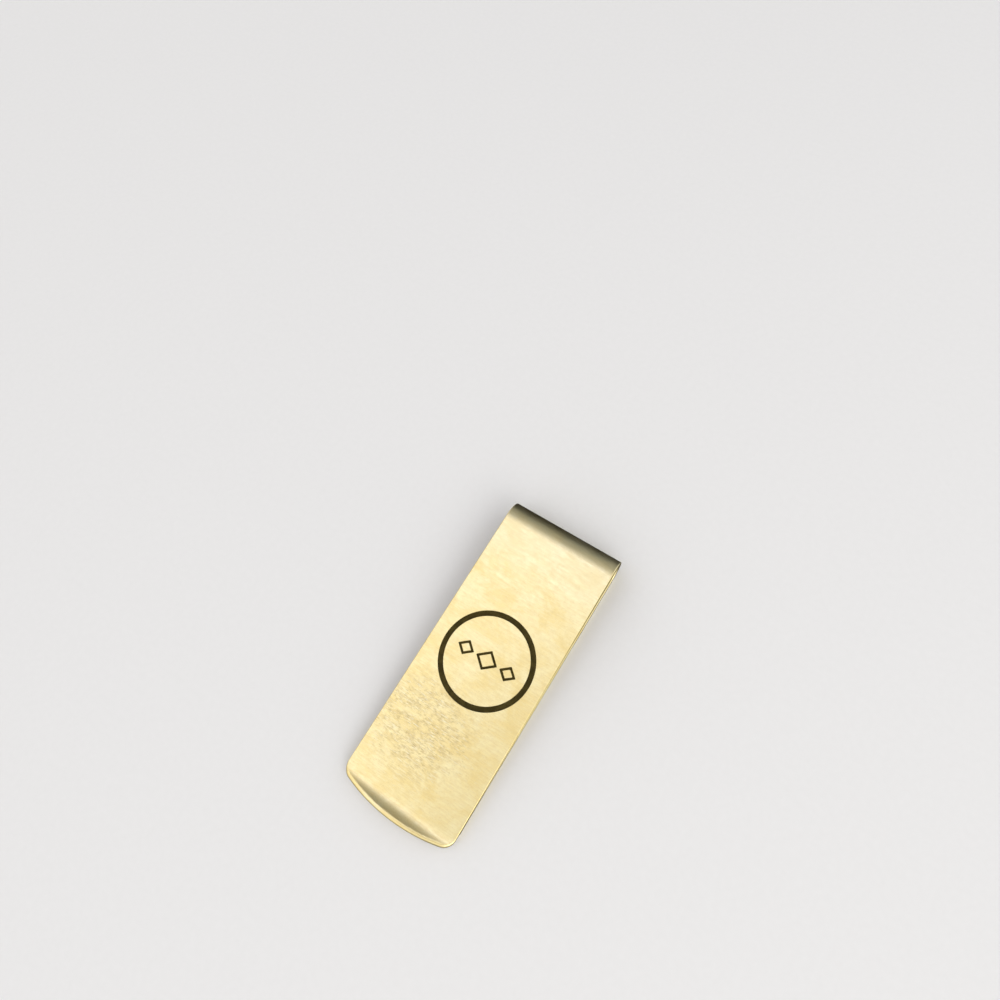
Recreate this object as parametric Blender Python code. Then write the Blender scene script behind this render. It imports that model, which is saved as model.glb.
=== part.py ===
"""Sprung brass money clip: one strip folded into a hairpin, with enamel in its engraved face.

Metres, +Z up. The clip rests on its back leaf on Z = 0. +Y points to the U-bend and -Y to the
open end, where the front leaf presses on the back leaf. X runs across the strip. The origin is
the bottom centre of the whole clip. The strip flexes at the two ends of the bend, so it is built
there as three sections, and each flexure line is the origin of the section that turns about it.
"""

from math import acos, asin, atan2, cos, pi, radians, sin, sqrt, tau

import bmesh
import bpy
from mathutils import Vector

MM = 0.001

# The strip
STRIP_WIDTH = 22.0 * MM
STRIP_THICKNESS = 0.9 * MM
EDGE_ROUND = 0.15 * MM

# The fold: outer radius of the bend, and how far the front leaf slopes down to the open end
BEND_RADIUS = 3.3 * MM
FRONT_SLOPE = radians(5.35)
CONTACT_GAP = 0.1 * MM
FLEXURE_GAP = 0.06 * MM

# The open end: a lip that curls away from the back leaf, and the outline of both tips
LIP_RADIUS = 5.5 * MM
LIP_SWEEP = radians(38.0)
TIP_ARC_RADIUS = 35.0 * MM
TIP_CORNER_RADIUS = 2.2 * MM
BACK_TIP_SETBACK = 1.3 * MM

# The engraving in the front leaf, measured along it from the bend
RING_DISTANCE = 24.0 * MM
RING_OUTER_RADIUS = 8.55 * MM
RING_INNER_RADIUS = 7.6 * MM
MIDDLE_LOZENGE = (2.15 * MM, 1.85 * MM)
SIDE_LOZENGE = (1.65 * MM, 1.4 * MM)
SIDE_LOZENGE_OFFSET = 4.25 * MM
LOZENGE_STROKE = 0.42 * MM
GROOVE_DEPTH = 0.3 * MM
ENAMEL_RECESS = 0.05 * MM
ENAMEL_CLEARANCE = 0.04 * MM

# Facets
BEND_STEPS = 40
LIP_STEPS = 12
TIP_ARC_STEPS = 14
CORNER_STEPS = 6
RING_STEPS = 96
EDGE_STEPS = 2
SMOOTH_ANGLE = radians(30.0)

# Sizes that follow from those above
HALF_WIDTH = STRIP_WIDTH / 2
HALF_THICKNESS = STRIP_THICKNESS / 2
BEND_MID_RADIUS = BEND_RADIUS - HALF_THICKNESS
BEND_SWEEP = pi + FRONT_SLOPE
LIP_LENGTH = LIP_RADIUS * LIP_SWEEP


def front_straight_length():
    """Length of the front leaf's straight run that leaves CONTACT_GAP under its lowest point."""
    lip_bottom = BEND_RADIUS + (BEND_MID_RADIUS + LIP_RADIUS) * cos(FRONT_SLOPE) - LIP_RADIUS
    drop = lip_bottom - HALF_THICKNESS - STRIP_THICKNESS - CONTACT_GAP
    return drop / sin(FRONT_SLOPE)


FRONT_STRAIGHT = front_straight_length()
FRONT_LENGTH = FRONT_STRAIGHT + LIP_LENGTH


def front_reach():
    """Horizontal distance from the bend's centre to the lower edge of the front leaf's tip."""
    tip_rise = LIP_SWEEP - FRONT_SLOPE
    to_lip = BEND_MID_RADIUS * sin(FRONT_SLOPE) + FRONT_STRAIGHT * cos(FRONT_SLOPE)
    along_lip = LIP_RADIUS * (sin(tip_rise) + sin(FRONT_SLOPE))
    return to_lip + along_lip + HALF_THICKNESS * sin(tip_rise)


BEND_CENTRE_Y = (front_reach() - BEND_RADIUS) / 2
BACK_LENGTH = front_reach() - BACK_TIP_SETBACK
BACK_FLEXURE = Vector((0, BEND_CENTRE_Y, HALF_THICKNESS))
FRONT_FLEXURE = Vector(
    (
        0,
        BEND_CENTRE_Y - BEND_MID_RADIUS * sin(FRONT_SLOPE),
        BEND_RADIUS + BEND_MID_RADIUS * cos(FRONT_SLOPE),
    )
)


def clear_scene():
    """Remove whatever objects the scene starts with."""
    for item in list(bpy.data.objects):
        bpy.data.objects.remove(item, do_unlink=True)


def make_material(name, colour, metallic, roughness):
    """A Principled material of one colour."""
    material = bpy.data.materials.new(name)
    material.use_nodes = True
    shader = material.node_tree.nodes["Principled BSDF"]
    shader.inputs["Base Color"].default_value = (*colour, 1.0)
    shader.inputs["Metallic"].default_value = metallic
    shader.inputs["Roughness"].default_value = roughness
    return material


def make_brass(node):
    """Satin brass, pale and warm."""
    return make_material(node + "_brass", (0.86, 0.76, 0.46), 1.0, 0.34)


def make_enamel(node):
    """Near-black enamel with a low sheen."""
    return make_material(node + "_enamel", (0.022, 0.017, 0.011), 0.0, 0.55)


def make_object(name, mesh_data, material, location=(0, 0, 0), tilt=0.0):
    """Finish a bmesh into a named object, turned about X by tilt."""
    bmesh.ops.recalc_face_normals(mesh_data, faces=mesh_data.faces)
    bmesh.ops.triangulate(mesh_data, faces=mesh_data.faces)
    mesh = bpy.data.meshes.new(name)
    mesh_data.to_mesh(mesh)
    mesh_data.free()
    mesh.shade_smooth()
    mesh.set_sharp_from_angle(angle=SMOOTH_ANGLE)
    if material:
        mesh.materials.append(material)
    item = bpy.data.objects.new(name, mesh)
    item.location = location
    item.rotation_euler = (tilt, 0, 0)
    bpy.context.scene.collection.objects.link(item)
    return item


def arc_points(centre, radius, start, end, steps):
    """Points along an arc in the XY plane, both ends included."""
    points = []
    for step in range(steps + 1):
        angle = start + (end - start) * step / steps
        points.append((centre[0] + radius * cos(angle), centre[1] + radius * sin(angle)))
    return points


def leaf_outline(length):
    """Plan of a leaf: a square root at Y = 0 and a shallow arc with round corners at the tip."""
    arc_centre_y = TIP_ARC_RADIUS - length
    corner_x = HALF_WIDTH - TIP_CORNER_RADIUS
    corner_reach = TIP_ARC_RADIUS - TIP_CORNER_RADIUS
    corner_y = arc_centre_y - sqrt(corner_reach**2 - corner_x**2)
    join_angle = acos(corner_x / corner_reach)
    root_y = -FLEXURE_GAP / 2
    left = arc_points((-corner_x, corner_y), TIP_CORNER_RADIUS, -pi, join_angle - pi, CORNER_STEPS)
    tip = arc_points((0, arc_centre_y), TIP_ARC_RADIUS, join_angle - pi, -join_angle, TIP_ARC_STEPS)
    right = arc_points((corner_x, corner_y), TIP_CORNER_RADIUS, -join_angle, 0, CORNER_STEPS)
    return [(-HALF_WIDTH, root_y)] + left + tip[1:-1] + right + [(HALF_WIDTH, root_y)]


def flat_leaf(length):
    """The flat blank of a leaf, centred on Z = 0, with every edge eased but those of its root."""
    blank = bmesh.new()
    corners = [blank.verts.new((x, y, -HALF_THICKNESS)) for x, y in leaf_outline(length)]
    face = blank.faces.new(corners)
    raised = bmesh.ops.extrude_face_region(blank, geom=[face])["geom"]
    top = [item for item in raised if isinstance(item, bmesh.types.BMVert)]
    bmesh.ops.translate(blank, verts=top, vec=(0, 0, STRIP_THICKNESS))
    root_y = -FLEXURE_GAP / 2
    eased = []
    for edge in blank.edges:
        first, second = (vert.co for vert in edge.verts)
        is_level = abs(first.z - second.z) < EDGE_ROUND
        is_root = min(first.y, second.y) > root_y - EDGE_ROUND
        if is_level and not is_root:
            eased.append(edge)
    bmesh.ops.bevel(
        blank, geom=eased, offset=EDGE_ROUND, segments=EDGE_STEPS, profile=0.5, affect="EDGES"
    )
    return blank


def curl_lip(blank):
    """Curl the end of a flat front leaf upwards, about a line above it."""
    for step in range(LIP_STEPS):
        station = -(FRONT_STRAIGHT + LIP_LENGTH * step / LIP_STEPS)
        everything = blank.verts[:] + blank.edges[:] + blank.faces[:]
        bmesh.ops.bisect_plane(
            blank, geom=everything, dist=0.001 * MM, plane_co=(0, station, 0), plane_no=(0, 1, 0)
        )
    for vert in blank.verts:
        beyond = -vert.co.y - FRONT_STRAIGHT
        if beyond <= 0:
            continue
        angle = beyond / LIP_RADIUS
        reach = LIP_RADIUS - vert.co.z
        vert.co.y = -FRONT_STRAIGHT - reach * sin(angle)
        vert.co.z = LIP_RADIUS - reach * cos(angle)


def bend_section():
    """Cross-section of the strip with eased corners, as (across, outwards) pairs."""
    points = []
    for side, start in ((1, 0.0), (-1, pi / 2), (-1, pi), (1, 3 * pi / 2)):
        out = 1 if start in (0.0, pi / 2) else -1
        centre = (side * (HALF_WIDTH - EDGE_ROUND), out * (HALF_THICKNESS - EDGE_ROUND))
        points += arc_points(centre, EDGE_ROUND, start, start + pi / 2, EDGE_STEPS)
    return points


def build_bend():
    """The U-bend: the section swept round the fold, from the back leaf to the front leaf."""
    trim = asin(FLEXURE_GAP / 2 / BEND_MID_RADIUS)
    centre_z = BEND_MID_RADIUS
    shape = bmesh.new()
    rings = []
    for step in range(BEND_STEPS + 1):
        angle = trim + (BEND_SWEEP - 2 * trim) * step / BEND_STEPS
        ring = []
        for across, outwards in bend_section():
            reach = BEND_MID_RADIUS + outwards
            place = (across, reach * sin(angle), centre_z - reach * cos(angle))
            ring.append(shape.verts.new(place))
        rings.append(ring)
    for lower, upper in zip(rings, rings[1:]):
        for index, vert in enumerate(lower):
            after = (index + 1) % len(lower)
            shape.faces.new((vert, lower[after], upper[after], upper[index]))
    shape.faces.new(rings[0])
    shape.faces.new(rings[-1])
    return make_object("bend", shape, make_brass("bend"), BACK_FLEXURE)


def circle(radius):
    """Corner points of the ring's circles."""
    return [(x, y) for x, y in arc_points((0, 0), radius, 0, tau, RING_STEPS)[:-1]]


def lozenge(half_size, inset):
    """Corner points of a lozenge whose sides are moved inwards by inset."""
    half_width, half_height = half_size
    side_distance = half_width * half_height / sqrt(half_width**2 + half_height**2)
    scale = 1 - inset / side_distance
    wide = half_width * scale
    high = half_height * scale
    return [(wide, 0), (0, high), (-wide, 0), (0, -high)]


def band_prism(outer, inner, bottom, top, centre):
    """A closed band between two outlines, from Z = bottom to Z = top."""
    shape = bmesh.new()
    loops = []
    for outline, height in ((outer, bottom), (outer, top), (inner, top), (inner, bottom)):
        loop = [shape.verts.new((centre[0] + x, centre[1] + y, height)) for x, y in outline]
        loops.append(loop)
    for one, other in zip(loops, loops[1:] + loops[:1]):
        for index, vert in enumerate(one):
            after = (index + 1) % len(one)
            shape.faces.new((vert, one[after], other[after], other[index]))
    return shape


def engrave(leaf, name, outlines, centre):
    """Cut one groove in the leaf and lay its enamel in it; outlines(inset) gives both edges."""
    floor = HALF_THICKNESS - GROOVE_DEPTH
    outer, inner = outlines(0.0)
    groove = band_prism(outer, inner, floor, STRIP_THICKNESS, centre)
    cutter = make_object("groove_for_" + name, groove, None)
    cutter.parent = leaf
    cutter.hide_render = True
    cutter.display_type = "WIRE"
    cut = leaf.modifiers.new("groove_for_" + name, "BOOLEAN")
    cut.operation = "DIFFERENCE"
    cut.solver = "EXACT"
    cut.object = cutter
    outer, inner = outlines(ENAMEL_CLEARANCE)
    low = floor + ENAMEL_CLEARANCE
    high = HALF_THICKNESS - ENAMEL_RECESS
    enamel = band_prism(outer, inner, low, high, centre)
    fill = make_object(name, enamel, make_enamel(name))
    fill.parent = leaf
    return fill


def ring_outlines(inset):
    """Both edges of the engraved ring."""
    return circle(RING_OUTER_RADIUS - inset), circle(RING_INNER_RADIUS + inset)


def lozenge_outlines(half_size):
    """A function that gives both edges of one engraved lozenge outline."""

    def outlines(inset):
        return lozenge(half_size, inset), lozenge(half_size, LOZENGE_STROKE - inset)

    return outlines


def build_back_leaf():
    """The plain leaf that the clip rests on."""
    return make_object("back_leaf", flat_leaf(BACK_LENGTH), make_brass("back_leaf"), BACK_FLEXURE)


def build_front_leaf():
    """The engraved leaf with its lip, and the enamel in its engraving."""
    blank = flat_leaf(FRONT_LENGTH)
    curl_lip(blank)
    leaf = make_object("front_leaf", blank, make_brass("front_leaf"), FRONT_FLEXURE, FRONT_SLOPE)
    middle = (0, -RING_DISTANCE)
    engrave(leaf, "enamel_ring", ring_outlines, middle)
    engrave(leaf, "enamel_lozenge_middle", lozenge_outlines(MIDDLE_LOZENGE), middle)
    for name, side in (("enamel_lozenge_left", -1), ("enamel_lozenge_right", 1)):
        place = (side * SIDE_LOZENGE_OFFSET, -RING_DISTANCE)
        engrave(leaf, name, lozenge_outlines(SIDE_LOZENGE), place)
    return leaf


def build():
    """The whole clip, closed."""
    clear_scene()
    build_back_leaf()
    build_bend()
    build_front_leaf()


build()
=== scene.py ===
"""Looks of a brass money clip: one bent strip, and a ring and three lozenges filled with dark enamel."""

from functools import partial
from math import atan2, cos, pi, radians, sin, sqrt
from types import SimpleNamespace

import bmesh
import bpy
from mathutils import Matrix, Vector


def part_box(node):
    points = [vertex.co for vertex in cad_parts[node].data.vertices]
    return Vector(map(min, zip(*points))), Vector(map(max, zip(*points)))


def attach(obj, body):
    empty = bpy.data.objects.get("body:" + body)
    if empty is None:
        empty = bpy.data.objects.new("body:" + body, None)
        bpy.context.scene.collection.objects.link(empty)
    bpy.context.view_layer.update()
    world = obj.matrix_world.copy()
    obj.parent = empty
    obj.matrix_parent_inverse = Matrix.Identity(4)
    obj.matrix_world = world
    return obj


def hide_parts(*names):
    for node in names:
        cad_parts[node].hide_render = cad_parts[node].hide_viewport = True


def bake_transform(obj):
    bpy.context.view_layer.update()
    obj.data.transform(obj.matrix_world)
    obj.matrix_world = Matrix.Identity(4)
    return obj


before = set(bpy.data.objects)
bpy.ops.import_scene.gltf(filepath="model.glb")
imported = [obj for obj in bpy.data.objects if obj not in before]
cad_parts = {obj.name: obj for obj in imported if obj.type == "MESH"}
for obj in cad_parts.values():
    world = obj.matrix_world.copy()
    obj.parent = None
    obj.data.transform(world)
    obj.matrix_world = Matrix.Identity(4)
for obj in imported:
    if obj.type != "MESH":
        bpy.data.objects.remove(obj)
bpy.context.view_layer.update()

MM = 0.001

# The strip, as bent. The boxes of the CAD nodes give the rest of its sizes.
FRONT_SLOPE = radians(5.35)
CONTACT_GAP = 0.1 * MM
LIP_RADIUS = 5.5 * MM
LIP_SWEEP = radians(38)
TIP_ARC_RADIUS = 35.0 * MM
TIP_CORNER_RADIUS = 2.2 * MM
EDGE_ROUND = 0.16 * MM
TIP_ROUND = 0.58 * MM
TIP_ROUND_FADE = 0.7
INNER_ROUND = 0.2 * MM
FACE_MARGIN = 0.05 * MM
EDGE_STEPS = 5
CORNER_STEPS = 14
TIP_STEPS = 44
SHARP_ANGLE = radians(32)

# The two halves of the strip meet this far round the bend from the back leaf.
SEAM_ANGLE = radians(84)

# The engraving, and the enamel that fills it.
RING_DISTANCE = 24.0 * MM
RING_RADII = (7.6 * MM, 8.55 * MM)
MIDDLE_LOZENGE = (2.15 * MM, 1.85 * MM)
SIDE_LOZENGE = (1.65 * MM, 1.4 * MM)
SIDE_LOZENGE_OFFSET = 4.25 * MM
LOZENGE_STROKE = 0.42 * MM
LOZENGE_ROUND = 0.09 * MM
LOZENGE_CORNER_STEPS = 5
LOZENGES = (("left", -1, SIDE_LOZENGE), ("middle", 0, MIDDLE_LOZENGE), ("right", 1, SIDE_LOZENGE))
GROOVE_DEPTH = 0.3 * MM
GROOVE_CHAMFER = 0.035 * MM
CUTTER_RISE = 4 * GROOVE_CHAMFER
ENAMEL_CLEARANCE = 0.008 * MM
ENAMEL_RECESS = 0.035 * MM
ENAMEL_DISH = 0.02 * MM
ENAMEL_BASE = 0.26 * MM
DISH_SHARES = (0.12, 0.3, 0.5, 0.7, 0.88)
RING_STEPS = 160
RING_WIDTH = RING_RADII[1] - RING_RADII[0]
RING_PLACE = (0.0, -RING_DISTANCE)

# Where each half of the strip is split into finer rows near the join of leaf and bend, as flat y: 0 where the
# leaf meets the bend, and positive in the bend.
BACK_FLEX_ZONE = (-4.0 * MM, 4.0 * MM)
FRONT_FLEX_ZONE = (4.2 * MM, -4.2 * MM)
BEND_STEP = radians(3)
LIP_STEP = radians(2)
FLEX_STEP = 0.5 * MM
DIVIDE_TOLERANCE = 1e-7

# A bent normal is averaged over these distances along the strip, 1 mm either way.
NORMAL_EASE = tuple(step * 0.25 * MM for step in range(-4, 5))

# The faces of the strip, as material slots.
OUTER_FACE, EDGE_FACE, INNER_FACE = 0, 1, 2

# The strip's UV map holds its flat pattern, with the inner faces beside it. UV_SPAN is in mm.
UV_NAME = "flat_pattern"
UV_SPAN = 120.0
UV_CENTRE = 0.5
UV_INNER_SHIFT = 0.25

# Sizes worked out from the boxes of the CAD nodes and the values above. HALF is half the metal's thickness.
leaf_low, leaf_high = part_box("back_leaf")
bend_low, bend_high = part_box("bend")
HALF_WIDTH = (leaf_high.x - leaf_low.x) / 2
THICKNESS = leaf_high.z - leaf_low.z
HALF = THICKNESS / 2
OUTER_RADIUS = (bend_high.z - bend_low.z) / 2
BEND_Z = OUTER_RADIUS
BEND_Y = bend_high.y - OUTER_RADIUS
MID_RADIUS = OUTER_RADIUS - HALF
BACK_LENGTH = BEND_Y - leaf_low.y
BEND_SWEEP = pi + FRONT_SLOPE
LIP_LENGTH = LIP_RADIUS * LIP_SWEEP
LIP_BOTTOM = BEND_Z + (MID_RADIUS + LIP_RADIUS) * cos(FRONT_SLOPE) - LIP_RADIUS - HALF
FRONT_STRAIGHT = (LIP_BOTTOM - THICKNESS - CONTACT_GAP) / sin(FRONT_SLOPE)
FRONT_LENGTH = FRONT_STRAIGHT + LIP_LENGTH
BACK_SEAM = SEAM_ANGLE * MID_RADIUS
FRONT_SEAM = (BEND_SWEEP - SEAM_ANGLE) * MID_RADIUS


# Where a point of the flat strip goes. Flat x is across, flat y is 0 at the tangent and negative towards
# the tip, and flat z is 0 in the middle of the metal and positive on the outer side.


def round_bend(x, z, angle, side):
    """A point of the bend, and where the flat axes point there.

    angle is 0 at the back leaf. side is 1 on the front half and -1 on the back half.
    """
    radius = MID_RADIUS + z
    place = Vector((side * x, BEND_Y + radius * sin(angle), BEND_Z - radius * cos(angle)))
    along = Vector((0, cos(angle), sin(angle))) * -side
    return place, (Vector((side, 0, 0)), along, Vector((0, sin(angle), -cos(angle))))


def back_place(x, y, z):
    """Where a flat point of the back half goes, and where its flat axes point."""
    if y > 0:
        return round_bend(x, z, y / MID_RADIUS, -1)
    place = Vector((-x, BEND_Y + y, HALF - z))
    return place, (Vector((-1, 0, 0)), Vector((0, 1, 0)), Vector((0, 0, -1)))


def front_place(x, y, z):
    """Where a flat point of the front half goes, and where its flat axes point. The lip curls up."""
    if y > 0:
        return round_bend(x, z, BEND_SWEEP - y / MID_RADIUS, 1)
    start, (across, up_leaf, outward) = round_bend(0, 0, BEND_SWEEP, 1)
    beyond = max(0.0, -y - FRONT_STRAIGHT)
    turn = beyond / LIP_RADIUS
    reach = LIP_RADIUS - z
    if beyond > 0:
        y, z = -FRONT_STRAIGHT - reach * sin(turn), LIP_RADIUS - reach * cos(turn)
    place = start + Vector((x, 0, 0)) + up_leaf * y + outward * z
    axes = across, up_leaf * cos(turn) - outward * sin(turn), outward * cos(turn) + up_leaf * sin(turn)
    return place, axes


# Flat shapes.


def outline(length, seam):
    """Points round a leaf's edge, from the seam round the tip and back, each with its inward direction."""
    corner_x = HALF_WIDTH - TIP_CORNER_RADIUS
    arc_y = TIP_ARC_RADIUS - length
    corner_y = arc_y - sqrt((TIP_ARC_RADIUS - TIP_CORNER_RADIUS) ** 2 - corner_x**2)
    join = atan2(arc_y - corner_y, corner_x)
    arcs = (
        ((-corner_x, corner_y), TIP_CORNER_RADIUS, -pi, join - pi, CORNER_STEPS),
        ((0, arc_y), TIP_ARC_RADIUS, join - pi, -join, TIP_STEPS),
        ((corner_x, corner_y), TIP_CORNER_RADIUS, -join, 0, CORNER_STEPS),
    )
    points = [((-HALF_WIDTH, seam), (1, 0))]
    for count, (centre, radius, start, end, steps) in enumerate(arcs):
        for i in range(0 if count == 0 else 1, steps + 1):
            angle = start + (end - start) * i / steps
            way = cos(angle), sin(angle)
            point = centre[0] + radius * way[0], centre[1] + radius * way[1]
            points.append((point, (-way[0], -way[1])))
    points.append(((HALF_WIDTH, seam), (-1, 0)))
    return points


def rounded(radius):
    """(inset, height) of each point of a rounded edge, from the face round to the side."""
    half = [(radius + FACE_MARGIN, HALF)]
    for i in range(EDGE_STEPS + 1):
        angle = i * pi / 2 / EDGE_STEPS
        half.append((radius * (1 - sin(angle)), HALF - radius * (1 - cos(angle))))
    return half


def edge_section(inward, tip_round):
    """(inset, height) of each point across the strip's edge. The outer side is rounded more at the tip."""
    tip_share = max(0.0, inward[1]) ** TIP_ROUND_FADE
    outer = rounded(EDGE_ROUND + (tip_round - EDGE_ROUND) * tip_share)
    return outer + [(inset, -height) for inset, height in reversed(rounded(INNER_ROUND))]


def flat_strip(name, length, seam, tip_round):
    """The flat strip as one closed body, whose faces know if they are outer, edge or inner."""
    path = outline(length, seam)
    sections = [edge_section(n, tip_round) for _, n in path]
    shape = bmesh.new()
    rows = []
    for k in range(len(sections[0])):
        row = []
        for (p, n), section in zip(path, sections):
            inset, height = section[k]
            row.append(shape.verts.new((p[0] + n[0] * inset, p[1] + n[1] * inset, height)))
        rows.append(row)
    kinds = [OUTER_FACE] + [EDGE_FACE] * (len(rows) - 3) + [INNER_FACE]
    for upper, lower, kind in zip(rows, rows[1:], kinds):
        for i in range(len(path) - 1):
            face = shape.faces.new((upper[i], lower[i], lower[i + 1], upper[i + 1]))
            face.material_index = kind
    shape.faces.new(rows[0]).material_index = OUTER_FACE
    shape.faces.new(reversed(rows[-1])).material_index = INNER_FACE
    shape.faces.new([r[-1] for r in rows] + [r[0] for r in reversed(rows)])
    bmesh.ops.recalc_face_normals(shape, faces=shape.faces)
    return finish_mesh(name, shape)


def finish_mesh(name, shape):
    """Makes an object of the shape and puts it in the scene."""
    mesh = bpy.data.meshes.new(name)
    shape.to_mesh(mesh)
    shape.free()
    made = bpy.data.objects.new(name, mesh)
    bpy.context.scene.collection.objects.link(made)
    return made


def ring_loop(inset):
    """A circle inset from the ring's outer edge. An inset of RING_WIDTH gives its inner edge."""
    radius = RING_RADII[1] - inset
    angles = [2 * pi * i / RING_STEPS for i in range(RING_STEPS)]
    return [(radius * cos(angle), radius * sin(angle)) for angle in angles]


def lozenge_loop(half_size, inset):
    """A lozenge with slightly rounded corners, whose sides are moved inwards by inset."""
    wide, tall = half_size
    shrink = 1 - inset * sqrt(wide * wide + tall * tall) / (wide * tall)
    wide, tall = wide * shrink, tall * shrink
    side = sqrt(wide * wide + tall * tall)
    facing = atan2(wide / side, tall / side)
    back_off = LOZENGE_ROUND * side / tall, LOZENGE_ROUND * side / wide
    corners = (
        ((wide - back_off[0], 0), -facing, facing),
        ((0, tall - back_off[1]), facing, pi - facing),
        ((back_off[0] - wide, 0), pi - facing, pi + facing),
        ((0, back_off[1] - tall), pi + facing, 2 * pi - facing),
    )
    points = []
    for centre, start, end in corners:
        for i in range(LOZENGE_CORNER_STEPS + 1):
            angle = start + (end - start) * i / LOZENGE_CORNER_STEPS
            points.append((centre[0] + LOZENGE_ROUND * cos(angle), centre[1] + LOZENGE_ROUND * sin(angle)))
    return points


def band(name, section, place):
    """A closed band. Each point of its section is a loop of flat points and the height they are at."""
    shape = bmesh.new()
    rows = [[shape.verts.new((x + place[0], y + place[1], z)) for x, y in loop] for loop, z in section]
    for upper, lower in zip(rows, rows[1:] + rows[:1]):
        for i in range(len(upper)):
            after = (i + 1) % len(upper)
            shape.faces.new((upper[i], upper[after], lower[after], lower[i]))
    bmesh.ops.recalc_face_normals(shape, faces=shape.faces)
    return finish_mesh(name, shape)


def motifs():
    """(name, loop function, width, place, slot) of each engraved band."""
    found = [("enamel_ring", ring_loop, RING_WIDTH, RING_PLACE, "enamel_ring")]
    for word, side, size in LOZENGES:
        place = side * SIDE_LOZENGE_OFFSET, -RING_DISTANCE
        loop = partial(lozenge_loop, size)
        found.append(("enamel_lozenge_" + word, loop, LOZENGE_STROKE, place, "enamel_motif"))
    return found


def groove_cutter(name, loop, width, place):
    """What the engraver takes away: straight walls and a small chamfer where they meet the face."""
    top = HALF + CUTTER_RISE
    rise = top - HALF
    section = (
        (loop(-GROOVE_CHAMFER - rise), top),
        (loop(0), HALF - GROOVE_CHAMFER),
        (loop(0), HALF - GROOVE_DEPTH),
        (loop(width), HALF - GROOVE_DEPTH),
        (loop(width), HALF - GROOVE_CHAMFER),
        (loop(width + GROOVE_CHAMFER + rise), top),
    )
    return band("cut_" + name, section, place)


def enamel_fill(name, loop, width, place):
    """The fill, with a slightly dished face that climbs to its edges."""
    gap, face = ENAMEL_CLEARANCE, HALF - ENAMEL_RECESS
    section = [(loop(gap), HALF - ENAMEL_BASE), (loop(gap), face)]
    for share in DISH_SHARES:
        dish = ENAMEL_DISH * (1 - (2 * share - 1) ** 4)
        section.append((loop(gap + (width - 2 * gap) * share), face - dish))
    section += [(loop(width - gap), face), (loop(width - gap), HALF - ENAMEL_BASE)]
    return band(name, section, place)


def engrave(strip, cutters):
    """Takes the cutters away from the strip, and removes them."""
    for cutter in cutters:
        cut = strip.modifiers.new("groove", "BOOLEAN")
        cut.operation, cut.solver, cut.object = "DIFFERENCE", "EXACT", cutter
    bpy.context.view_layer.update()
    graph = bpy.context.evaluated_depsgraph_get()
    mesh = bpy.data.meshes.new_from_object(strip.evaluated_get(graph))
    strip.modifiers.clear()
    strip.data = mesh
    for cutter in cutters:
        bpy.data.objects.remove(cutter)


# From flat to bent.


def divide(strip, lines):
    """Splits the flat strip's faces along lines across it, so that it can bend there."""
    shape = bmesh.new()
    shape.from_mesh(strip.data)
    for y in lines:
        everything = shape.verts[:] + shape.edges[:] + shape.faces[:]
        plane = {"dist": DIVIDE_TOLERANCE, "plane_co": (0, y, 0), "plane_no": (0, 1, 0)}
        bmesh.ops.bisect_plane(shape, geom=everything, **plane)
    shape.to_mesh(strip.data)
    shape.free()


def spread(start, end, step):
    """Places from start to end, about a step apart."""
    count = max(1, int(abs(end - start) / step + 0.5))
    return [start + (end - start) * i / count for i in range(count + 1)]


def pattern_map(mesh):
    """Writes the flat pattern as the mesh's UV map, before it is bent."""
    layer = mesh.uv_layers.new(name=UV_NAME)
    for face in mesh.polygons:
        shift = UV_INNER_SHIFT if face.material_index == INNER_FACE else 0.0
        for i in face.loop_indices:
            x, y, z = mesh.vertices[mesh.loops[i].vertex_index].co
            u = UV_CENTRE + shift + x / MM / UV_SPAN
            layer.data[i].uv = u, UV_CENTRE + y / MM / UV_SPAN


def turned_normal(place_of, flat, normal):
    """The bent normal, averaged along the strip, because the metal eases into and out of each curve."""
    total = Vector((0, 0, 0))
    for ease in NORMAL_EASE:
        axes = place_of(flat.x, flat.y + ease, flat.z)[1]
        total += axes[0] * normal.x + axes[1] * normal.y + axes[2] * normal.z
    return total.normalized()


def bend_mesh(made, place_of):
    """Moves a flat mesh to its bent place, and turns its normals with it so that the bend is smooth."""
    mesh = made.data
    pattern_map(mesh)
    mesh.shade_smooth()
    mesh.set_sharp_from_angle(angle=SHARP_ANGLE)
    mesh.update()
    flat_normals = [Vector(n.vector) for n in mesh.corner_normals]
    flat_places = [v.co.copy() for v in mesh.vertices]
    turned = []
    for loop, normal in zip(mesh.loops, flat_normals):
        turned.append(turned_normal(place_of, flat_places[loop.vertex_index], normal))
    for vertex, flat in zip(mesh.vertices, flat_places):
        vertex.co = place_of(*flat)[0]
    mesh.update()
    mesh.normals_split_custom_set(turned)
    return made


# Materials.


def add(tree, kind, inputs=(), **settings):
    """A shader node. Its inputs are sockets to link or values to set."""
    made = tree.nodes.new(kind)
    for key, value in settings.items():
        setattr(made, key, value)
    for key, value in dict(inputs).items():
        if isinstance(value, bpy.types.NodeSocket):
            tree.links.new(value, made.inputs[key])
        else:
            made.inputs[key].default_value = value
    return made


def maths(tree, operation, first, second=0.0, third=0.0):
    inputs = {0: first, 1: second, 2: third}
    return add(tree, "ShaderNodeMath", inputs, operation=operation).outputs[0]


def vector_maths(tree, operation, first, second=(0.0, 0.0, 0.0), result="Vector"):
    """Maths on two vectors. Its result is a vector, or the Value of a length or a dot product."""
    made = add(tree, "ShaderNodeVectorMath", {0: first, 1: second}, operation=operation)
    return made.outputs[result]


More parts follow.
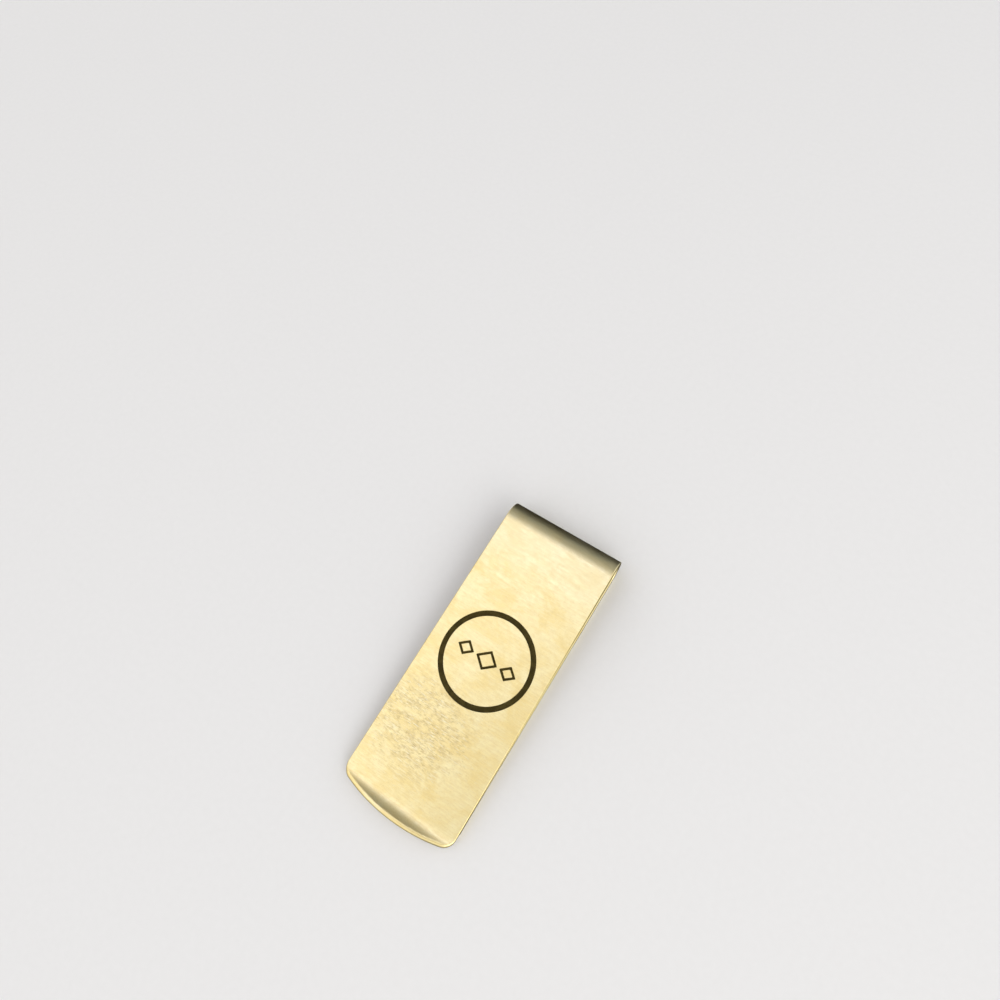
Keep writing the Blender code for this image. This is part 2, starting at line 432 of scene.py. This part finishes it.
def ramp(tree, value, low_in, high_in, low_out=0.0, high_out=1.0):
    """A smooth step from low_out to high_out, as value goes from low_in to high_in."""
    inputs = {"Value": value, "From Min": low_in, "From Max": high_in, "To Min": low_out, "To Max": high_out}
    return add(tree, "ShaderNodeMapRange", inputs, interpolation_type="SMOOTHSTEP").outputs[0]


def mix(tree, share, first, second):
    made = add(tree, "ShaderNodeMix", data_type="RGBA")
    for socket, value in ((made.inputs[0], share), (made.inputs[6], first), (made.inputs[7], second)):
        if isinstance(value, bpy.types.NodeSocket):
            tree.links.new(value, socket)
        else:
            socket.default_value = value
    return made.outputs[2]


def noise(tree, place, stretch, detail=2.0, roughness=0.5, distortion=0.0):
    """Noise over the flat pattern in mm, with so many features per mm across and along the strip."""
    scaled = vector_maths(tree, "MULTIPLY", place, (*stretch, 1.0))
    made = add(tree, "ShaderNodeTexNoise", {"Vector": scaled, "Scale": 1.0}, noise_dimensions="2D")
    made.inputs["Detail"].default_value = detail
    made.inputs["Roughness"].default_value = roughness
    made.inputs["Distortion"].default_value = distortion
    return made.outputs["Fac"]


def new_material(name, metallic, roughness):
    material = bpy.data.materials.new(name)
    material.use_nodes = True
    tree = material.node_tree
    shader = tree.nodes["Principled BSDF"]
    shader.inputs["Metallic"].default_value = metallic
    shader.inputs["Roughness"].default_value = roughness
    return material, tree, shader


def pattern_place(tree):
    """The place on the flat pattern in mm: 0 in the middle of the width, and negative towards the tip."""
    uv = add(tree, "ShaderNodeUVMap", uv_map=UV_NAME).outputs[0]
    moved = vector_maths(tree, "SUBTRACT", uv, (UV_CENTRE, UV_CENTRE, 0))
    return vector_maths(tree, "MULTIPLY", moved, (UV_SPAN, UV_SPAN, 1))


def oval(tree, place, centre, size):
    """1 in the core of an oval patch, falling softly to 0 at its edge."""
    moved = vector_maths(tree, "SUBTRACT", place, (*centre, 0))
    scaled = vector_maths(tree, "MULTIPLY", moved, (1 / size[0], 1 / size[1], 1))
    length = vector_maths(tree, "LENGTH", scaled, result="Value")
    return ramp(tree, length, 1.0, OVAL_CORE)


def rgb(red, green, blue):
    return red, green, blue, 1.0


# Colours of the metal, the enamel, the floor and the backdrop.
PALE_BRASS = rgb(0.985, 0.862, 0.47)
DEEP_BRASS = rgb(0.92, 0.74, 0.32)
MOTTLED_BRASS = rgb(0.86, 0.68, 0.31)
STREAKED_BRASS = rgb(0.72, 0.56, 0.25)
GRAINED_BRASS = rgb(0.7, 0.53, 0.24)
BRUISED_BRASS = rgb(0.62, 0.48, 0.23)
SPECKED_BRASS = rgb(0.33, 0.24, 0.09)
SCRATCHED_BRASS = rgb(0.48, 0.36, 0.16)
SHINING_BRASS = rgb(1.0, 0.95, 0.7)
# A painted highlight: paler, whiter brass near the bend.
HIGHLIGHT_BRASS = rgb(1.0, 0.93, 0.62)
# Painted shade, laid on the inner faces between the leaves.
SHADED_BRASS = rgb(0.5, 0.43, 0.26)
# A painted highlight along the rounded edges.
EDGE_HIGHLIGHT_BRASS = rgb(1.0, 0.94, 0.72)
NICKED_BRASS = rgb(0.84, 0.68, 0.38)
ENAMEL = rgb(0.036, 0.026, 0.004)
RUBBED_ENAMEL = rgb(0.06, 0.044, 0.009)
GRAINED_ENAMEL = rgb(0.09, 0.068, 0.02)
PAPER = rgb(0.79, 0.785, 0.77)
PAPER_FIBRE = rgb(0.82, 0.815, 0.8)
BACKDROP = rgb(0.9, 0.9, 0.89)

# Places on the flat pattern, in mm: the rough patch, where the brushing gets stronger, and the painted
# highlight near the bend.
ROUGH_PATCH = (-3.5, -39.0)
ROUGH_PATCH_SIZE = (12.5, 11.0)
WEAK_BRUSHING, FULL_BRUSHING = -12.0, -32.0
HIGHLIGHT_START, HIGHLIGHT_END = -11.0, -1.0

# The share of an oval patch's radius that is at full strength, and the floor's fibres.
OVAL_CORE = 0.35
FIBRES_PER_METRE = 900.0


def brass_marks(tree, place, worn):
    """Noises of the brushing, the mottling and the grain, and the marks of the rough patch."""
    marks = SimpleNamespace()
    marks.fine = noise(tree, place, (0.55, 9.0), detail=3.0, roughness=0.6)
    marks.coarse = noise(tree, place, (0.22, 2.6), detail=2.0, roughness=0.55)
    marks.cloud = noise(tree, place, (0.16, 0.22), detail=4.0, roughness=0.6, distortion=0.4)
    marks.mottle = noise(tree, place, (0.9, 1.3), detail=4.0, roughness=0.62)
    marks.grain = noise(tree, place, (3.2, 5.5), detail=2.0, roughness=0.6)
    half_fine = maths(tree, "MULTIPLY", marks.fine, 0.5)
    half_coarse = maths(tree, "MULTIPLY", marks.coarse, 0.5)
    marks.streaks = maths(tree, "ADD", half_fine, half_coarse)

    broken = noise(tree, place, (0.4, 0.75), detail=3.0, roughness=0.6)
    patch = oval(tree, place, ROUGH_PATCH, ROUGH_PATCH_SIZE)
    patch = maths(tree, "MULTIPLY", patch, ramp(tree, broken, 0.32, 0.55))
    marks.patch = maths(tree, "MULTIPLY", patch, worn)
    scratch = noise(tree, place, (0.85, 5.4), detail=3.0, roughness=0.7, distortion=0.2)
    shine = noise(tree, place, (0.6, 4.8), detail=2.0, roughness=0.6, distortion=0.15)
    speck = noise(tree, place, (1.2, 3.0), detail=3.0, roughness=0.7)
    speck_share = maths(tree, "MULTIPLY_ADD", marks.patch, 0.9, 0.1)
    shine_share = maths(tree, "MULTIPLY_ADD", marks.patch, 0.42, 0.12)
    marks.specks = maths(tree, "MULTIPLY", ramp(tree, speck, 0.56, 0.7), speck_share)
    marks.shines = maths(tree, "MULTIPLY", ramp(tree, shine, 0.54, 0.72), shine_share)
    marks.scratches = maths(tree, "MULTIPLY", ramp(tree, scratch, 0.47, 0.6), marks.patch)
    marks.bruise = maths(tree, "MULTIPLY", ramp(tree, marks.mottle, 0.4, 0.6), marks.patch)
    return marks


def brass_colour(tree, place, marks, painted_shade):
    """Pale brass, mottled and streaked by its marks, made whiter near the bend as a painted highlight, and
    darkened by painted shade as much as the last argument asks.
    """
    along = add(tree, "ShaderNodeSeparateXYZ", {0: place}).outputs["Y"]
    lower = ramp(tree, along, WEAK_BRUSHING, FULL_BRUSHING, 0.6, 1.0)
    streaked = maths(tree, "MULTIPLY", ramp(tree, marks.streaks, 0.38, 0.62, 0.0, 0.24), lower)
    grained = maths(tree, "MULTIPLY", ramp(tree, marks.grain, 0.52, 0.8, 0.0, 0.3), lower)
    layers = (
        (ramp(tree, marks.cloud, 0.3, 0.72), DEEP_BRASS),
        (ramp(tree, marks.mottle, 0.35, 0.75, 0.0, 0.36), MOTTLED_BRASS),
        (streaked, STREAKED_BRASS),
        (grained, GRAINED_BRASS),
        (maths(tree, "MULTIPLY", marks.bruise, 0.3), BRUISED_BRASS),
        (maths(tree, "MULTIPLY", marks.specks, 0.38), SPECKED_BRASS),
        (maths(tree, "MULTIPLY", marks.scratches, 0.28), SCRATCHED_BRASS),
        (marks.shines, SHINING_BRASS),
        # Painted highlight: whiter brass near the bend.
        (ramp(tree, along, HIGHLIGHT_START, HIGHLIGHT_END, 0.0, 0.3), HIGHLIGHT_BRASS),
        # Painted shade: darker brass, used on the inner faces between the leaves.
        (painted_shade, SHADED_BRASS),
    )
    colour = PALE_BRASS
    for share, layer in layers:
        colour = mix(tree, share, colour, layer)
    return colour


def brass_roughness(tree, marks):
    rough = maths(tree, "MULTIPLY_ADD", marks.streaks, 0.22, 0.19)
    rough = maths(tree, "MULTIPLY_ADD", marks.mottle, 0.08, rough)
    return maths(tree, "MULTIPLY_ADD", marks.patch, 0.06, rough)


def brass_height(tree, marks):
    height = maths(tree, "MULTIPLY_ADD", marks.coarse, 0.8, maths(tree, "MULTIPLY", marks.fine, 0.6))
    height = maths(tree, "MULTIPLY_ADD", marks.grain, 0.25, height)
    height = maths(tree, "MULTIPLY_ADD", marks.scratches, -0.6, height)
    return maths(tree, "MULTIPLY_ADD", marks.specks, -0.6, height)


def add_bump(tree, shader, height, strength, distance):
    bump = add(tree, "ShaderNodeBump", {"Height": height, "Strength": strength, "Distance": distance})
    tree.links.new(bump.outputs[0], shader.inputs["Normal"])


def brushed_brass(name, worn, painted_shade):
    """Pale satin brass brushed across its width. worn is how strong the rough patch is, and the last argument
    is how strong the painted shade is.
    """
    material, tree, shader = new_material(name, 1.0, 0.3)
    place = pattern_place(tree)
    marks = brass_marks(tree, place, worn)
    tree.links.new(brass_colour(tree, place, marks, painted_shade), shader.inputs["Base Color"])
    tree.links.new(brass_roughness(tree, marks), shader.inputs["Roughness"])
    add_bump(tree, shader, brass_height(tree, marks), 0.35, 0.006 * MM)
    return material


def edge_brass():
    """The tumbled edge, smoother than the faces, with small nicks. Its paler, whiter colour is a painted
    highlight.
    """
    material, tree, shader = new_material("edge_brass", 1.0, 0.25)
    place = pattern_place(tree)
    nicks = noise(tree, place, (1.6, 1.6), detail=3.0, roughness=0.65)
    long_marks = noise(tree, place, (0.3, 0.3), detail=2.0)
    # Painted highlight: the edges are paler and whiter than the faces.
    colour = mix(tree, ramp(tree, nicks, 0.5, 0.75), EDGE_HIGHLIGHT_BRASS, NICKED_BRASS)
    tree.links.new(colour, shader.inputs["Base Color"])
    rough = maths(tree, "MULTIPLY_ADD", nicks, 0.16, ramp(tree, long_marks, 0.3, 0.7, 0.12, 0.22))
    tree.links.new(rough, shader.inputs["Roughness"])
    add_bump(tree, shader, nicks, 0.3, 0.01 * MM)
    return material


def dark_enamel():
    """Matt brown-black fill with a fine grain and a few paler rubbed places."""
    material, tree, shader = new_material("dark_enamel", 0.0, 0.55)
    place = pattern_place(tree)
    grain = noise(tree, place, (7.0, 7.0), detail=3.0, roughness=0.6)
    rubbed = noise(tree, place, (0.7, 0.7), detail=3.0, roughness=0.6)
    colour = mix(tree, ramp(tree, rubbed, 0.35, 0.7), ENAMEL, RUBBED_ENAMEL)
    colour = mix(tree, ramp(tree, grain, 0.5, 0.8, 0.0, 0.4), colour, GRAINED_ENAMEL)
    tree.links.new(colour, shader.inputs["Base Color"])
    rough = maths(tree, "MULTIPLY_ADD", grain, 0.25, 0.42)
    tree.links.new(rough, shader.inputs["Roughness"])
    shader.inputs["Specular IOR Level"].default_value = 0.08
    add_bump(tree, shader, grain, 0.4, 0.008 * MM)
    return material


def floor_paper():
    """Matt pale paper with a faint fibre."""
    material, tree, shader = new_material("floor_paper", 0.0, 0.7)
    coordinates = add(tree, "ShaderNodeTexCoord").outputs["Object"]
    inputs = {"Vector": coordinates, "Scale": FIBRES_PER_METRE, "Detail": 3.0}
    fibre = add(tree, "ShaderNodeTexNoise", inputs).outputs["Fac"]
    tree.links.new(mix(tree, fibre, PAPER, PAPER_FIBRE), shader.inputs["Base Color"])
    return material


# The build.


def back_half():
    """The back leaf, and the bend up to the seam."""
    back = flat_strip("back_strip", BACK_LENGTH, BACK_SEAM, EDGE_ROUND)
    steps = int(SEAM_ANGLE / BEND_STEP)
    divide(back, [BACK_SEAM * i / steps for i in range(steps)])
    divide(back, spread(BACK_FLEX_ZONE[0], 0.0, FLEX_STEP))
    return bend_mesh(back, back_place)


def front_half():
    """The engraved front leaf with its lip, and the rest of the bend."""
    front = flat_strip("front_strip", FRONT_LENGTH, FRONT_SEAM, TIP_ROUND)
    engrave(front, [groove_cutter(*band_values) for *band_values, _ in motifs()])
    steps = int((BEND_SWEEP - SEAM_ANGLE) / BEND_STEP)
    divide(front, [FRONT_SEAM * i / steps for i in range(steps)])
    divide(front, spread(0.0, FRONT_FLEX_ZONE[1], FLEX_STEP))
    steps = int(LIP_SWEEP / LIP_STEP + 0.5)
    divide(front, [-FRONT_STRAIGHT - LIP_LENGTH * i / steps for i in range(steps)])
    return bend_mesh(front, front_place)


def build_strip():
    """Two halves of one strip. They meet low in the bend."""
    back, front = back_half(), front_half()
    faces = {
        OUTER_FACE: brushed_brass("brushed_brass", 1.0, 0.0),
        EDGE_FACE: edge_brass(),
        # The inner faces are darkened by painted shade, as they lie between the leaves.
        INNER_FACE: brushed_brass("inner_brass", 0.25, 0.3),
    }
    for made in (back, front):
        made.data.materials.clear()
        for kind in sorted(faces):
            made.data.materials.append(faces[kind])

    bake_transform(back)
    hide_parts("back_leaf", "bend")
    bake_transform(front)
    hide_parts("front_leaf", "bend")


def build_enamel():
    material = dark_enamel()
    for name, loop, width, place, slot in motifs():
        fill = enamel_fill("fill_" + name, loop, width, place)
        bend_mesh(fill, front_place)
        fill.data.materials.append(material)
        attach(fill, "front_leaf")
        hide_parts(name)


# Floor, light and camera.

FLOOR_SIZE = 4.0
FLOOR_DROP = 0.02 * MM
BACKDROP_RADIUS = 1.9
CAMERA_PLACE = Vector((18.92, -7.76, 118.93)) * MM
CAMERA_TARGET = Vector((-15.5, 28.51, 0.0)) * MM
CAMERA_HEADING = radians(33.05)
CAMERA_LENS = 23.75
CAMERA_SENSOR = 36.0
CAMERA_NEAR = 1 * MM
CAMERA_FAR = 10.0
KEY_PLACE = Vector((0.55, -0.3, 0.5))
KEY_POWER = 1.3
KEY_SIZE = 0.5
KEY_COLOUR = (1.0, 0.985, 0.96)

# Soft round patches in the world: centre, half width and strength. The brass mirrors them.
UPPER_LOBE = (-0.15, 0.18, 0.98), radians(13), 1.35
LEFT_LOBE = (-0.38, -0.3, 0.87), radians(24), 0.52
AHEAD_LOBE = (-0.15, -0.9, 0.35), radians(40), 0.3
DIM_LOBE = (0.04, -0.38, 0.92), radians(21), 0.4
WARM_WHITE = rgb(1.0, 0.98, 0.94)
BLUE_WHITE = rgb(1.0, 1.02, 1.35)
COOL_WHITE = rgb(1.0, 1.01, 1.14)
FAR_WHITE = rgb(0.94, 1.0, 1.12)


def build_floor():
    """A wide pale floor just under the clip. The brass doesn't mirror it."""
    shape = bmesh.new()
    bmesh.ops.create_grid(shape, x_segments=8, y_segments=8, size=FLOOR_SIZE / 2)
    floor = finish_mesh("floor", shape)
    floor.location.z = -FLOOR_DROP
    floor.data.materials.append(floor_paper())
    floor.visible_glossy = False


def build_backdrop():
    """A plain pale dome round the scene, seen only by the camera."""
    material = bpy.data.materials.new("backdrop_paper")
    material.use_nodes = True
    tree = material.node_tree
    glow = add(tree, "ShaderNodeEmission", {"Color": BACKDROP, "Strength": 1.0})
    tree.links.new(glow.outputs[0], tree.nodes["Material Output"].inputs["Surface"])
    shape = bmesh.new()
    bmesh.ops.create_uvsphere(shape, u_segments=48, v_segments=24, radius=BACKDROP_RADIUS)
    backdrop = finish_mesh("backdrop", shape)
    backdrop.data.materials.append(material)
    backdrop.visible_glossy = backdrop.visible_diffuse = backdrop.visible_shadow = False


def lobe(tree, way, centre, width, strength):
    """A soft round patch of light round centre, strength in the middle and 0 from width outwards."""
    towards = Vector(centre).normalized()
    facing = vector_maths(tree, "DOT_PRODUCT", way, towards, result="Value")
    return ramp(tree, facing, cos(width), 1.0, 0.0, strength)


def world_fade(tree, parts):
    """Darkens the sky where the bend faces, and leaves it bright to the left, to the right and behind."""
    fade = ramp(tree, parts["Y"], 0.13, 0.25, 1.0, 0.28)
    fade = maths(tree, "MULTIPLY", fade, ramp(tree, parts["Z"], 0.1, 0.88))
    fade = maths(tree, "MAXIMUM", fade, ramp(tree, parts["X"], -0.02, 0.14))
    fade = maths(tree, "MAXIMUM", fade, ramp(tree, parts["X"], -0.44, -0.62, 0.0, 0.9))
    bend_side = ramp(tree, parts["Y"], 0.0, 0.1)
    other_side = maths(tree, "SUBTRACT", 1.0, bend_side)
    return maths(tree, "ADD", maths(tree, "MULTIPLY", fade, bend_side), other_side)


def world_level(tree, parts, lobes, dim):
    """How bright the sky is each way: an even ceiling, the lobes, and less light near and below the floor."""
    level = ramp(tree, parts["X"], -0.25, 0.05, 0.97, 0.83)
    lobes = maths(tree, "ADD", lobes, ramp(tree, parts["X"], 0.25, 0.6, 0.0, 0.3))
    level = maths(tree, "SUBTRACT", maths(tree, "ADD", level, lobes), dim)
    level = maths(tree, "MULTIPLY", level, world_fade(tree, parts))
    level = maths(tree, "MULTIPLY", level, ramp(tree, parts["Z"], -0.1, 0.1, 0.5, 1.0))
    return maths(tree, "MULTIPLY", level, ramp(tree, parts["Z"], -0.8, -0.4, 0.1, 1.0))


def build_world():
    """A white ceiling, brightest where the bend end of the clip mirrors it, and dark where the bend faces."""
    world = bpy.data.worlds.new("studio")
    world.use_nodes = True
    bpy.context.scene.world = world
    tree = world.node_tree
    way = add(tree, "ShaderNodeTexCoord").outputs["Generated"]
    parts = add(tree, "ShaderNodeSeparateXYZ", {0: way}).outputs
    upper, left = lobe(tree, way, *UPPER_LOBE), lobe(tree, way, *LEFT_LOBE)
    ahead, dim = lobe(tree, way, *AHEAD_LOBE), lobe(tree, way, *DIM_LOBE)
    lobes = maths(tree, "ADD", maths(tree, "ADD", upper, left), ahead)
    cool = ramp(tree, maths(tree, "ADD", upper, ahead), 0.05, 0.9)
    colour = mix(tree, cool, WARM_WHITE, BLUE_WHITE)
    colour = mix(tree, ramp(tree, left, 0.05, 0.4), colour, COOL_WHITE)
    colour = mix(tree, ramp(tree, parts["Y"], 0.45, 0.75), colour, FAR_WHITE)
    background = tree.nodes["Background"]
    tree.links.new(colour, background.inputs["Color"])
    tree.links.new(world_level(tree, parts, lobes, dim), background.inputs["Strength"])


def build_key_light():
    """A square lamp to the right of the clip, facing it."""
    lamp = bpy.data.lights.new("key", "AREA")
    lamp.energy, lamp.size, lamp.color = KEY_POWER, KEY_SIZE, KEY_COLOUR
    made = bpy.data.objects.new("key", lamp)
    made.location = KEY_PLACE
    made.rotation_mode = "QUATERNION"
    made.rotation_quaternion = (-KEY_PLACE).to_track_quat("-Z", "Y")
    bpy.context.scene.collection.objects.link(made)


def build_camera():
    """The camera of the photo, above the clip and turned so that the clip leans to the right."""
    camera = bpy.data.objects.new("camera", bpy.data.cameras.new("camera"))
    ahead = (CAMERA_TARGET - CAMERA_PLACE).normalized()
    heading = Vector((-sin(CAMERA_HEADING), cos(CAMERA_HEADING), 0))
    right = ahead.cross(heading).normalized()
    up = right.cross(ahead)
    camera.matrix_world = Matrix((right, up, -ahead)).transposed().to_4x4()
    camera.location = CAMERA_PLACE
    camera.data.lens, camera.data.sensor_width = CAMERA_LENS, CAMERA_SENSOR
    camera.data.clip_start, camera.data.clip_end = CAMERA_NEAR, CAMERA_FAR
    bpy.context.scene.collection.objects.link(camera)
    bpy.context.scene.camera = camera


build_strip()
build_enamel()
build_floor()
build_backdrop()
build_world()
build_key_light()
build_camera()
bpy.context.scene.view_settings.view_transform = "Standard"
